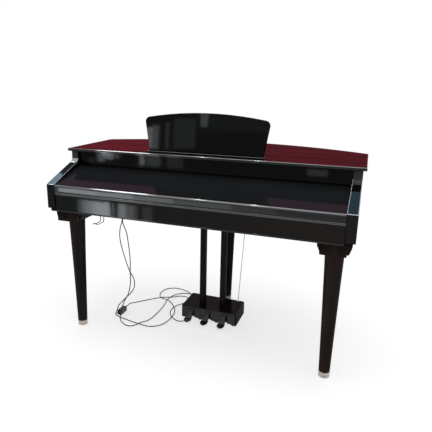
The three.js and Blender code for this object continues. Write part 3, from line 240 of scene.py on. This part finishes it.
def red_lid():
    """Deep red under clear polish, a painted reflection of a red wall, with fine grain that runs across the
    lid.

    It is lighter at the left, a painted reflection of bright light from that side, and nearly black in a
    strip in front of the desk, a painted reflection of the black desk.
    """
    s = Shader("red_lacquer", Specular_IOR_Level=0.0, Coat_Weight=0.02, Coat_IOR=1.5, Coat_Roughness=0.06)
    fine = s.noise(9, 6, 0.65, s.mapped((1.2, 26, 26)), 0.3)
    broad = s.noise(3, 3, 0.5, s.mapped((0.5, 7, 7)), 0.3)
    grain = s.mix(0.35, fine, broad)
    forward = s.span(s.along("Y"), 1.0, 0.0, *STRIP_BACK)
    sideways = s.span(s.math("ABSOLUTE", s.along("X"), 0.0), 1.0, 0.0, *STRIP_ENDS)
    # A lighter copy of the red, painted light at the left
    leftward = s.span(s.along("X"), 1.0, 0.0, LIGHTER_FROM, LIGHTER_TO)
    lighter = tuple((position, tuple(LIGHTER * c for c in color)) for position, color in RED_REFLECTION_STOPS)
    red = s.mix(leftward, s.ramp(grain, *RED_REFLECTION_STOPS), s.ramp(grain, *lighter))
    # Painted reflection of the black desk: the red turns nearly black in this strip
    strip = s.math("MULTIPLY", forward, sideways)
    s.drive("Base Color", s.mix(strip, red, (0.016, 0.0135, 0.0145)))
    s.drive("Roughness", s.span(s.noise(14, 3), 0.25, 0.4))
    wave = s.bump(s.noise(60, 2), 0.00004)
    s.drive("Normal", wave)
    s.drive("Coat Normal", wave)
    return s.material


def ivory():
    """White keys: smooth plastic with a faint grain along the key."""
    s = Shader("key_white", Specular_IOR_Level=0.5, Coat_Weight=0.15, Coat_Roughness=0.15)
    s.drive("Base Color", s.ramp(s.noise(22, 5, 0.6), (0.3, (0.81, 0.79, 0.73)), (0.7, (0.85, 0.83, 0.77))))
    s.drive("Roughness", s.span(s.noise(60, 4), 0.22, 0.36))
    s.drive("Normal", s.bump(s.noise(350, 2, 0.5, s.mapped((1, 0.15, 1))), 0.000005))
    return s.material


def ebony():
    """Black keys: satin, with a grain along the key."""
    s = Shader("key_black", Specular_IOR_Level=0.4)
    grain = s.noise(30, 5, 0.6, s.mapped((6, 0.6, 6)))
    s.drive("Base Color", s.ramp(grain, (0.3, (0.008, 0.008, 0.009)), (0.7, (0.02, 0.019, 0.02))))
    s.drive("Roughness", s.span(s.noise(90, 4), 0.28, 0.42))
    s.drive("Normal", s.bump(s.noise(420, 2, 0.5, s.mapped((1, 0.12, 1))), 0.00003))
    return s.material


def plastic(name, tone, rough, grain=0.00008):
    s = Shader(name, Specular_IOR_Level=0.35)
    low = tuple(c * 0.8 for c in tone)
    s.drive("Base Color", s.ramp(s.noise(40, 3), (0.3, low), (0.7, tone)))
    s.drive("Roughness", s.span(s.noise(120, 3), rough - 0.06, rough + 0.08))
    s.drive("Normal", s.bump(s.noise(1100, 2), grain))
    return s.material


def metal(name, tone, rough, brushed=(40, 40, 4)):
    s = Shader(name, Metallic=1.0)
    low = tuple(c * 0.86 for c in tone)
    s.drive("Base Color", s.ramp(s.noise(25, 4), (0.3, low), (0.7, tone)))
    s.drive("Roughness", s.span(s.noise(30, 4, 0.6, s.mapped(brushed)), rough * 0.7, rough * 1.4))
    s.drive("Normal", s.bump(s.noise(60, 3, 0.5, s.mapped(brushed)), 0.00001))
    return s.material


def circuit():
    s = Shader("circuit_board", Specular_IOR_Level=0.5, Roughness=0.4)
    traces = s.noise(60, 0, 0.5, s.mapped((1, 4, 1)))
    s.drive("Base Color", s.ramp(traces, (0.45, (0.006, 0.05, 0.022)), (0.5, (0.02, 0.12, 0.05))))
    return s.material


lid_red, apron_black = red_lid(), apron_painted_reflection()
key_white, key_black = ivory(), ebony()
satin = plastic("satin_plastic", (0.008, 0.008, 0.009), 0.34)
cord_rubber = plastic("cord_rubber", (0.006, 0.006, 0.0065), 0.5, 0.00003)
speaker_grey = plastic("speaker_grey", (0.05, 0.05, 0.054), 0.5)
nickel = metal("ferrule_nickel", (0.50, 0.45, 0.41), 0.2)
# Darker nickel for the rear ferrule: painted shade under the piano
shaded_nickel = metal("shaded_nickel", (0.17, 0.16, 0.15), 0.3)
pedal_metal = metal("pedal_rim", (0.92, 0.91, 0.90), 0.16, (60, 6, 60))
# Painted reflections on the chrome pedals: a near-black toe top and a grey, non-metal shank top
pedal_toe_painted_reflection = metal("pedal_toe_painted_reflection", (0.035, 0.034, 0.034), 0.18, (60, 6, 60))
pedal_shank_painted_reflection = plastic("pedal_shank_painted_reflection", (0.14, 0.14, 0.138), 0.3, 0.00001)
dark_steel = metal("dark_steel", (0.16, 0.16, 0.165), 0.3)
bright_steel = metal("rod_steel", (0.62, 0.63, 0.63), 0.28)
board_green = circuit()


# Building helpers
WELD = 0.00001
FLAT_ANGLE = math.radians(0.6)  # faces that bend less than this become one
BEVEL_ANGLE = math.radians(35)
TURNED_SIDES, TURNED_SHARP = 64, 32


def new_piece(name, form, material, replaces, body="case"):
    piece = bpy.data.objects.new(name, form)
    scene.collection.objects.link(piece)
    form.materials.append(material)
    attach(piece, body)
    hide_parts(*replaces)
    return piece


def smooth(mesh, angle):
    mesh.shade_smooth()
    mesh.set_sharp_from_angle(angle=math.radians(angle))


def weigh_normals(piece):
    modifier = piece.modifiers.new("normals", "WEIGHTED_NORMAL")
    modifier.keep_sharp = True
    modifier.weight = 60


def bevel(piece, width, segments):
    modifier = piece.modifiers.new("bevel", "BEVEL")
    modifier.width = width
    modifier.segments = segments
    modifier.limit_method = "ANGLE"
    modifier.angle_limit = BEVEL_ANGLE
    modifier.miter_outer = "MITER_ARC"


def dress(node, material, width=0.0, segments=2, angle=50, body="case", others=(), edge=None):
    """A finished copy of a node: welded, with rounded edges and smooth shading.

    Others are pairs of a material and a rule on a face's normal and centre; the last one that holds wins.
    """
    mesh = bpy.data.meshes.new(node + "_finish")
    form = bmesh.new()
    form.from_mesh(nodes[node].data)
    bmesh.ops.remove_doubles(form, verts=form.verts, dist=WELD)
    bmesh.ops.dissolve_limit(form, angle_limit=FLAT_ANGLE, verts=form.verts, edges=form.edges)
    form.to_mesh(mesh)
    form.free()
    smooth(mesh, angle)
    piece = new_piece(node + "_finish", mesh, material, (node,), body)
    for index, (extra, rule) in enumerate(others, 1):
        mesh.materials.append(extra)
        for face in mesh.polygons:
            if rule(face.normal, face.center):
                face.material_index = index
    if width:
        bevel(piece, width, segments)
    if edge:
        mesh.materials.append(edge)
        piece.modifiers["bevel"].material = len(mesh.materials) - 1
    weigh_normals(piece)
    return piece


def turned(name, profile, x, y, material, replaces):
    """Turned form from pairs of radius and height, in millimetres, closed on the axis."""
    form = bmesh.new()
    angles = [2 * math.pi * i / TURNED_SIDES for i in range(TURNED_SIDES)]
    rings = []
    for radius, height in profile:
        corners = [(x + radius * math.cos(a), y + radius * math.sin(a), height) for a in angles]
        if radius == 0:
            corners = [(x, y, height)]
        rings.append([form.verts.new(place(*corner)) for corner in corners])
    for low, high in zip(rings, rings[1:]):
        for i in range(TURNED_SIDES):
            k = (i + 1) % TURNED_SIDES
            if len(low) == 1:
                form.faces.new((low[0], high[k], high[i]))
            elif len(high) == 1:
                form.faces.new((low[i], low[k], high[0]))
            else:
                form.faces.new((low[i], low[k], high[k], high[i]))
    bmesh.ops.recalc_face_normals(form, faces=form.faces)
    mesh = bpy.data.meshes.new(name)
    form.to_mesh(mesh)
    form.free()
    smooth(mesh, TURNED_SHARP)
    return new_piece(name, mesh, material, replaces)


def plain_node(node, material):
    """A new material for a node that is otherwise shown as it is."""
    mesh = nodes[node].data
    mesh.materials.clear()
    mesh.materials.append(material)


# Cords
CORD_RADIUS = 0.0025
CORD_STEPS = 10  # points on the route between two given ones


def catmull(points):
    """The route through the points that the cord follows, as a list of places."""
    p = [place(*q) for q in points]
    route = []
    for i in range(len(p) - 1):
        before = p[i - 1] if i else 2 * p[0] - p[1]
        after = p[i + 2] if i + 2 < len(p) else 2 * p[-1] - p[-2]
        start, end = p[i], p[i + 1]
        t0 = max((start - before).length ** 0.5, 1e-4)
        t1 = max((end - start).length ** 0.5, 1e-4)
        t2 = max((after - end).length ** 0.5, 1e-4)
        m0 = ((start - before) / t0 - (end - before) / (t0 + t1) + (end - start) / t1) * t1
        m1 = ((end - start) / t1 - (after - start) / (t1 + t2) + (after - end) / t2) * t1
        for k in range(CORD_STEPS):
            s = k / CORD_STEPS
            route.append(
                start * (2 * s**3 - 3 * s**2 + 1)
                + m0 * (s**3 - 2 * s**2 + s)
                + end * (-2 * s**3 + 3 * s**2)
                + m1 * (s**3 - s**2)
            )
    route.append(p[-1])
    return route


def tube(name, route, node):
    """The cord along a route, in place of a node."""
    curve = bpy.data.curves.new(name, "CURVE")
    curve.dimensions = "3D"
    curve.bevel_depth = CORD_RADIUS
    curve.bevel_resolution = 4
    curve.use_fill_caps = True
    spline = curve.splines.new("POLY")
    spline.points.add(len(route) - 1)
    for point, where in zip(spline.points, route):
        point.co = (*where, 1)
    spline.use_smooth = True
    return new_piece(name, curve, cord_rubber, (node,))


# Points on the cords' centrelines, in millimetres like the parts' sizes
POWER_ROUTE = [
    (-446, 262, 561.6), (-448, 262, 545), (-462, 264, 500), (-464, 266, 440), (-424, 275, 284),
    (-396, 282, 218), (-403, 287, 166), (-471, 294, 84), (-503, 297, 46), (-514, 291, 14),
    (-508, 268, 3.4), (-488, 255, 3.4), (-343, 220, 3.4), (-276, 217, 3.4), (-229, 252, 3.4),
    (-210, 330, 3.4), (-219, 415, 3.4), (-258, 485, 3.4), (-312, 535, 3.4), (-366, 553, 3.4),
    (-392, 606, 3.4), (-381, 674, 3.4), (-335, 706, 3.4), (-228, 664, 10), (-186, 608, 3.4),
    (-128, 440, 3.4), (-113, 369, 3.4), (-158, 326, 3.4), (-211, 350, 10), (-240, 411, 10),
    (-236, 468, 10), (-210, 545, 3.4), (-220, 612, 3.4), (-266, 612, 3.4), (-308, 580, 3.4),
    (-352, 544, 10), (-460, 456, 3.4), (-493, 404, 8), (-486, 374, 16), (-486, 352.3, 16),
]
PEDAL_ROUTE = [
    (-429, 235, 561.6), (-427, 235, 545), (-410, 238, 496), (-401, 242, 420), (-398, 247, 350),
    (-404, 255, 270), (-406, 258, 210), (-423, 261, 142), (-451, 258, 88), (-463, 248, 38),
    (-457, 226, 8), (-430, 200, 3.4), (-394, 181, 3.4), (-362, 189, 3.4), (-336, 220, 10),
    (-312, 275, 3.4), (-303, 360, 3.4), (-306, 460, 3.4), (-312, 534, 10), (-303, 590, 10),
    (-280, 643, 3.4), (-225, 665, 3.4), (-165, 645, 5), (-132, 605, 22), (-120, 572, 36),
    (-120, 542.6, 36),
]

power_plug = dress("power_plug", satin, 0.0004)
pedal_plug = dress("pedal_plug", satin, 0.0004)
power_adapter = dress("power_adapter", satin, 0.0012, 3)

power_line = catmull(POWER_ROUTE)
power_cord = tube("power_cord_run", power_line, "power_cord")
pedal_line = catmull(PEDAL_ROUTE)
pedal_cord = tube("pedal_cord_run", pedal_line, "pedal_cord")


# Rules that pick the faces of a second material
TOE_START = -0.106  # the pedals' toes are in front of this


def slanted(normal, centre):
    """Faces of the rounded and bevelled upper edges."""
    return 0.25 < normal.z < 0.9


def not_top(normal, centre):
    return normal.z < 0.97


def facing_front(normal, centre):
    return normal.y < -0.9


def upper_front(normal, centre):
    return normal.y < -0.9 and centre.z > 0.8


def shoulder(normal, centre):
    return slanted(normal, centre) and abs(normal.x) < 0.2 and centre.y > -0.3


def inner_edge(normal, centre):
    return slanted(normal, centre) and normal.x < -0.3


def fairly_front(normal, centre):
    return normal.y < -0.7


def on_shank(normal, centre):
    return normal.z > 0.25 and centre.y > TOE_START


def on_toe(normal, centre):
    return normal.z > 0.25 and centre.y <= TOE_START


def under_edge(normal, centre):
    return -0.95 < normal.z < -0.3


# Case
lid_faces = ((black, not_top), (rail_black, facing_front), (lid_line, slanted))
dress("lid", lid_red, angle=40, others=lid_faces)
# Arm fronts and upper fronts take lacquers with painted reflections and painted highlights
arm_faces = ((apron_black, facing_front), (front_painted_reflection, upper_front), (arm_edge_painted_highlight, slanted))
dress("side_left", arm_black, angle=30, others=arm_faces)
arm_faces += ((front_painted_reflection, shoulder), (arm_glint, inner_edge))
dress("side_right", arm_black, angle=30, others=arm_faces)
dress("front_board", black, angle=30)
dress("rear_panel", black, 0.0008)
dress("bottom_board", black, 0.0012)
dress("apron", apron_black, 0.0004)
dress("key_slip", black, angle=30, others=((edge_painted_highlight, fairly_front),))
cover_faces = ((rail_black, facing_front), (edge_painted_highlight, slanted), (black, under_edge))
dress("key_cover", cover_black, 0.001, 3, body="cover", others=cover_faces)
for side in ("left", "right"):
    dress(f"key_block_{side}", black, 0.0015, 3)
for side in ("left", "right"):
    dress(f"leg_block_{side}", leg_black, 0.0012)
dress("desk_ledge", black, others=((lid_line, slanted),))
dress("music_desk", black, body="desk")

# Legs, in millimetres: heights, radii at the foot and under the case, and the rear leg's collar
FERRULE_HEIGHT, LEG_TOP, REAR_TOP = 28, 588.5, 640.2
LEG_FOOT, LEG_WIDE, LEG_RINGS = 24, 40, 28
COLLAR = 12


def leg_profile(height):
    """A taper that flares a little near its top."""
    points = [(0, FERRULE_HEIGHT)]
    for i in range(LEG_RINGS + 1):
        share = i / LEG_RINGS
        flare = 0.88 * share + 0.12 * share**3
        points.append((LEG_FOOT + (LEG_WIDE - LEG_FOOT) * flare, FERRULE_HEIGHT + share * height))
    return points


# Pairs of radius and height, and of radius and depth below the top
FERRULE = [
    (0, 0), (20.4, 0), (22, 0.5), (23.4, 1.6), (24.2, 3.0), (24.4, 4.4), (24.4, 8.6), (24.0, 10.2),
    (22.9, 11.4), (22.5, 12.4), (22.5, 14.8), (22.9, 15.8), (24.2, 17.0), (24.8, 18.2), (25, 20),
    (25, 23), (24.8, 25), (24.3, 26.8), (23.6, 27.6), (22.4, 27.7), (0, 27.7),
]
COLLAR_EDGE = [(50, 11.4), (51.4, 10.6), (52, 9), (52, 0.8), (51.4, 0), (0, 0)]

front_leg = leg_profile(LEG_TOP - FERRULE_HEIGHT) + [(0, LEG_TOP)]
rear_leg = leg_profile(REAR_TOP - COLLAR - FERRULE_HEIGHT)
rear_leg += [(radius, REAR_TOP - depth) for radius, depth in COLLAR_EDGE]
for word, x, y, profile, wood, coat in (
    ("left", -620, 118, front_leg, leg_black, nickel),
    ("right", 620, 118, front_leg, leg_black, nickel),
    ("rear", 0, 693, rear_leg, rear_leg_painted_shade, shaded_nickel),
):
    turned(f"leg_{word}_finish", profile, x, y, wood, (f"leg_{word}",))
    turned(f"ferrule_{word}_finish", FERRULE, x, y, coat, (f"ferrule_{word}",))

# Lyre and pedals
for side in ("left", "right"):
    dress(f"lyre_post_{side}", lyre_black, 0.0006)
dress("pedal_box", lyre_black, 0.0014, others=((front_painted_reflection, facing_front),), edge=front_painted_reflection)
dress("pedal_base", dark_steel, 0.0006)
dress("brace_rod", bright_steel, angle=40)
# The pedals' tops carry painted reflections
pedal_faces = ((pedal_shank_painted_reflection, on_shank), (pedal_toe_painted_reflection, on_toe))
for word in ("left", "middle", "right"):
    dress(f"pedal_{word}", pedal_metal, angle=55, body=f"pedal_{word}", others=pedal_faces)
dress("pedal_cord_gland", satin, 0.0003)

# Underside fittings and the desk's stay
dress("jack_box", satin, 0.0006)
dress("headphone_hook", dark_steel, angle=70)
dress("desk_stay", dark_steel, 0.0004, body="stay")

# Keyboard and controls
for name in ("white_keys_low", "white_keys_high"):
    dress(name, key_white, 0.0007)
dress("key_frame", key_black, 0.0005)
for letter in "cdefgab":
    dress(f"white_key_{letter}", key_white, 0.0007, body=f"white_key_{letter}")
for letter in "cdfga":
    dress(f"black_key_{letter}_sharp", key_black, 0.0008, 3, body=f"black_key_{letter}_sharp")
dress("control_panel", satin, 0.0008)
dress("power_button", satin, 0.0004, body="power_button")
dress("volume_knob", satin, 0.0004, body="volume_knob")
plain_node("main_board", board_green)
for side in ("left", "right"):
    dress(f"speaker_{side}", speaker_grey, 0.0006)

# Floor, background and light
WORLD_LIGHT, WORLD_SEEN = 0.5, 1.0  # what the background gives as light, and how bright it looks
FLOOR_REACH, FLOOR_DROP = 14, 0.0006
FLOOR_LIFT = 0.66  # how much brighter the floor looks than it is lit
FADE_FROM, FADE_TO = 1.3, 3.6
FLAG_Y, FLAG_LEFT, FLAG_RIGHT, FLAG_TOP = -2.08, -3.4, 3.0, 1.3
STRIP_Y, STRIP_HEIGHT, STRIP_LENGTH = -0.2, 2.6, 2.4
PANE_Y = -2.0
WHITE, COOL_WHITE = (1, 1, 1), (0.9, 0.96, 1.0)


def joined(tree, kind, *sources):
    """A new node with these outputs linked to its first sockets."""
    node = tree.nodes.new(kind)
    for source, socket in zip(sources, node.inputs):
        tree.links.new(source, socket)
    return node


def emission(tree, strength, color=WHITE):
    node = tree.nodes.new("ShaderNodeEmission")
    node.inputs["Color"].default_value = (*color, 1)
    node.inputs["Strength"].default_value = strength
    return node.outputs[0]


def show(tree, output):
    tree.links.new(output, tree.nodes["Material Output"].inputs["Surface"])


def ray_share(tree):
    """1 for camera, glossy and transmission rays, 0 for the others."""
    path = tree.nodes.new("ShaderNodeLightPath")
    total = path.outputs["Is Camera Ray"]
    for key in ("Is Glossy Ray", "Is Transmission Ray"):
        node = joined(tree, "ShaderNodeMath", total, path.outputs[key])
        node.operation = "MAXIMUM"
        total = node.outputs[0]
    return total


def make_world():
    world = bpy.data.worlds.new("studio")
    scene.world = world
    world.use_nodes = True
    tree = world.node_tree
    background = tree.nodes["Background"]
    background.inputs["Color"].default_value = (*WHITE, 1)
    strength = joined(tree, "ShaderNodeMapRange", ray_share(tree))
    strength.inputs["To Min"].default_value = WORLD_LIGHT
    strength.inputs["To Max"].default_value = WORLD_SEEN
    tree.links.new(strength.outputs["Result"], background.inputs["Strength"])


def new_card(name, corners):
    """A single face with a material of its own, and that material's node tree."""
    mesh = bpy.data.meshes.new(name)
    mesh.from_pydata(corners, [], [(0, 1, 2, 3)])
    card = bpy.data.objects.new(name, mesh)
    scene.collection.objects.link(card)
    material = bpy.data.materials.new(name)
    material.use_nodes = True
    mesh.materials.append(material)
    return card, material.node_tree


def make_floor():
    """A pale floor that fades into the white background away from the piano."""
    corners = [(x * FLOOR_REACH, y * FLOOR_REACH, 0) for x, y in ((-1, -1), (1, -1), (1, 1), (-1, 1))]
    floor, tree = new_card("floor", corners)
    floor.location.z = -FLOOR_DROP
    surface = tree.nodes["Principled BSDF"]
    surface.inputs["Base Color"].default_value = (0.62, 0.62, 0.62, 1)
    surface.inputs["Roughness"].default_value = 0.9
    surface.inputs["Specular IOR Level"].default_value = 0.0
    shares = ray_share(tree)
    only_seen = joined(tree, "ShaderNodeMixShader", shares, emission(tree, 0.0), emission(tree, FLOOR_LIFT))
    near = joined(tree, "ShaderNodeAddShader", surface.outputs[0], only_seen.outputs[0])
    coordinate = tree.nodes.new("ShaderNodeTexCoord")
    distance = joined(tree, "ShaderNodeVectorMath", coordinate.outputs["Object"])
    distance.operation = "LENGTH"
    fade = joined(tree, "ShaderNodeMapRange", distance.outputs["Value"])
    fade.interpolation_type = "SMOOTHSTEP"
    fade.inputs["From Min"].default_value = FADE_FROM
    fade.inputs["From Max"].default_value = FADE_TO
    seen_fade = joined(tree, "ShaderNodeMath", fade.outputs["Result"], shares)
    seen_fade.operation = "MULTIPLY"
    far = emission(tree, 1.0)
    blend = joined(tree, "ShaderNodeMixShader", seen_fade.outputs[0], near.outputs[0], far)
    show(tree, blend.outputs[0])


def make_flag():
    """A dim card low in front of the piano that only its polish sees, as in a studio."""
    ends = ((FLAG_LEFT, 0), (FLAG_RIGHT, 0), (FLAG_RIGHT, FLAG_TOP), (FLAG_LEFT, FLAG_TOP))
    flag, tree = new_card("flag", [(x, FLAG_Y, z) for x, z in ends])
    tree.nodes.remove(tree.nodes["Principled BSDF"])
    show(tree, emission(tree, 1.0, (0.318, 0.336, 0.345)))
    flag.visible_camera = False
    flag.visible_diffuse = False
    flag.visible_shadow = False


def lamp(name, where, target, size, radiance, color=WHITE, only_gloss=True):
    """A soft rectangular lamp, given by how bright its face is; most are seen only in the polish."""
    data = bpy.data.lights.new(name, "AREA")
    data.shape = "RECTANGLE"
    data.size, data.size_y = size
    data.energy = radiance * math.pi * size[0] * size[1]
    data.color = color
    light = bpy.data.objects.new(name, data)
    light.location = where
    light.rotation_euler = (Vector(target) - Vector(where)).to_track_quat("-Z", "Y").to_euler()
    light.visible_camera = False
    light.visible_diffuse = not only_gloss
    scene.collection.objects.link(light)


make_world()
make_floor()
make_flag()
lamp("ceiling", (0.1, -0.3, 3.2), (0, 0, 0.6), (2.6, 2.2), 1.6, only_gloss=False)
lamp("sky_right", (0.6, 1.05, 3.0), (0.6, 0, 0.8), (1.2, 0.8), 3.2, (0.2, 0.65, 1.0))
lamp("sky_left", (-2.707, 0.744, 3.0), (-0.837, -0.256, 0.8), (0.82, 0.7), 16.0, (0.6, 0.85, 1.0))
lamp("wine_wall", (-1.1, 2.0, 3.0), (-1.1, 0.6, 0.8), (4.6, 0.9), 1.5, (1.0, 0.05, 0.5))
# Strips of light overhead that run to the back, seen in the upper edges: x, width, brightness
STRIPS = ((-1.34, 0.52, 14), (-0.60, 0.03, 20), (-0.13, 0.03, 16))
for i, (x, width, bright) in enumerate(STRIPS):
    lamp(f"strip_{i}", (x, STRIP_Y, STRIP_HEIGHT), (x, STRIP_Y, 0), (width, STRIP_LENGTH), bright)
# Panes of light in front of the piano, most of them at its left, seen in the polish:
# x from, x to, z from, z to, brightness
PANES = [
    (-1.65, -1.61, 0.10, 0.235, 1.6),
    (-1.61, -1.57, 0.10, 0.235, 3.5),
    (-1.57, -1.53, 0.10, 0.235, 4.9),
    (-1.53, -1.49, 0.10, 0.235, 6.0),
    (-1.49, -1.45, 0.10, 0.235, 7.4),
    (-1.45, -1.33, 0.10, 0.235, 8.3),
    (-1.305, -1.29, 0.10, 0.235, 4),
    (-1.25, -1.18, 0.10, 0.235, 5.2),
    (-1.18, -1.10, 0.10, 0.235, 2.4),
    (-1.10, -1.06, 0.10, 0.235, 1.1),
    (-1.02, -0.93, 0.10, 0.235, 0.7),
    (-1.84, -1.45, 0.27, 0.345, 3.2),
    (-1.45, -1.10, 0.27, 0.345, 2.6),
    (-1.10, -0.74, 0.27, 0.345, 1.5),
    (-0.74, -0.25, 0.27, 0.345, 0.7),
    (-0.25, 0.10, 0.27, 0.345, 0.2),
    (-1.80, -1.735, 0.49, 0.53, 0.7),
    (-1.705, -1.66, 0.50, 0.585, 5.2),
    (-1.66, -1.63, 0.50, 0.562, 5.2),
    (-1.63, -1.535, 0.53, 0.562, 7.5),
    (-1.66, -1.58, 0.564, 0.587, 17),
    (-1.58, -1.535, 0.564, 0.587, 11),
    (-1.535, -1.47, 0.545, 0.585, 3),
    (-1.265, -1.21, 0.49, 0.59, 6),
    (-1.19, -1.05, 0.49, 0.60, 2),
    (-0.99, -0.83, 0.49, 0.60, 0.9),
    (0.235, 0.395, 0.513, 0.568, 1.6),
    (-1.25, -1.15, 0.84, 1.03, 7),
    (-1.15, -1.085, 0.84, 1.05, 3.4),
    (-1.02, -0.985, 0.84, 1.08, 1.4),
    (-0.94, -0.74, 0.86, 1.12, 0.8),
    (-0.695, -0.625, 1.05, 1.17, 3.2),
    (-0.60, 0.1, 1.03, 1.15, 0.25),
]
for i, (x0, x1, z0, z1, bright) in enumerate(PANES):
    x, z = (x0 + x1) / 2, (z0 + z1) / 2
    lamp(f"pane_{i}", (x, PANE_Y, z), (x, 0, z), (x1 - x0, z1 - z0), bright, COOL_WHITE)
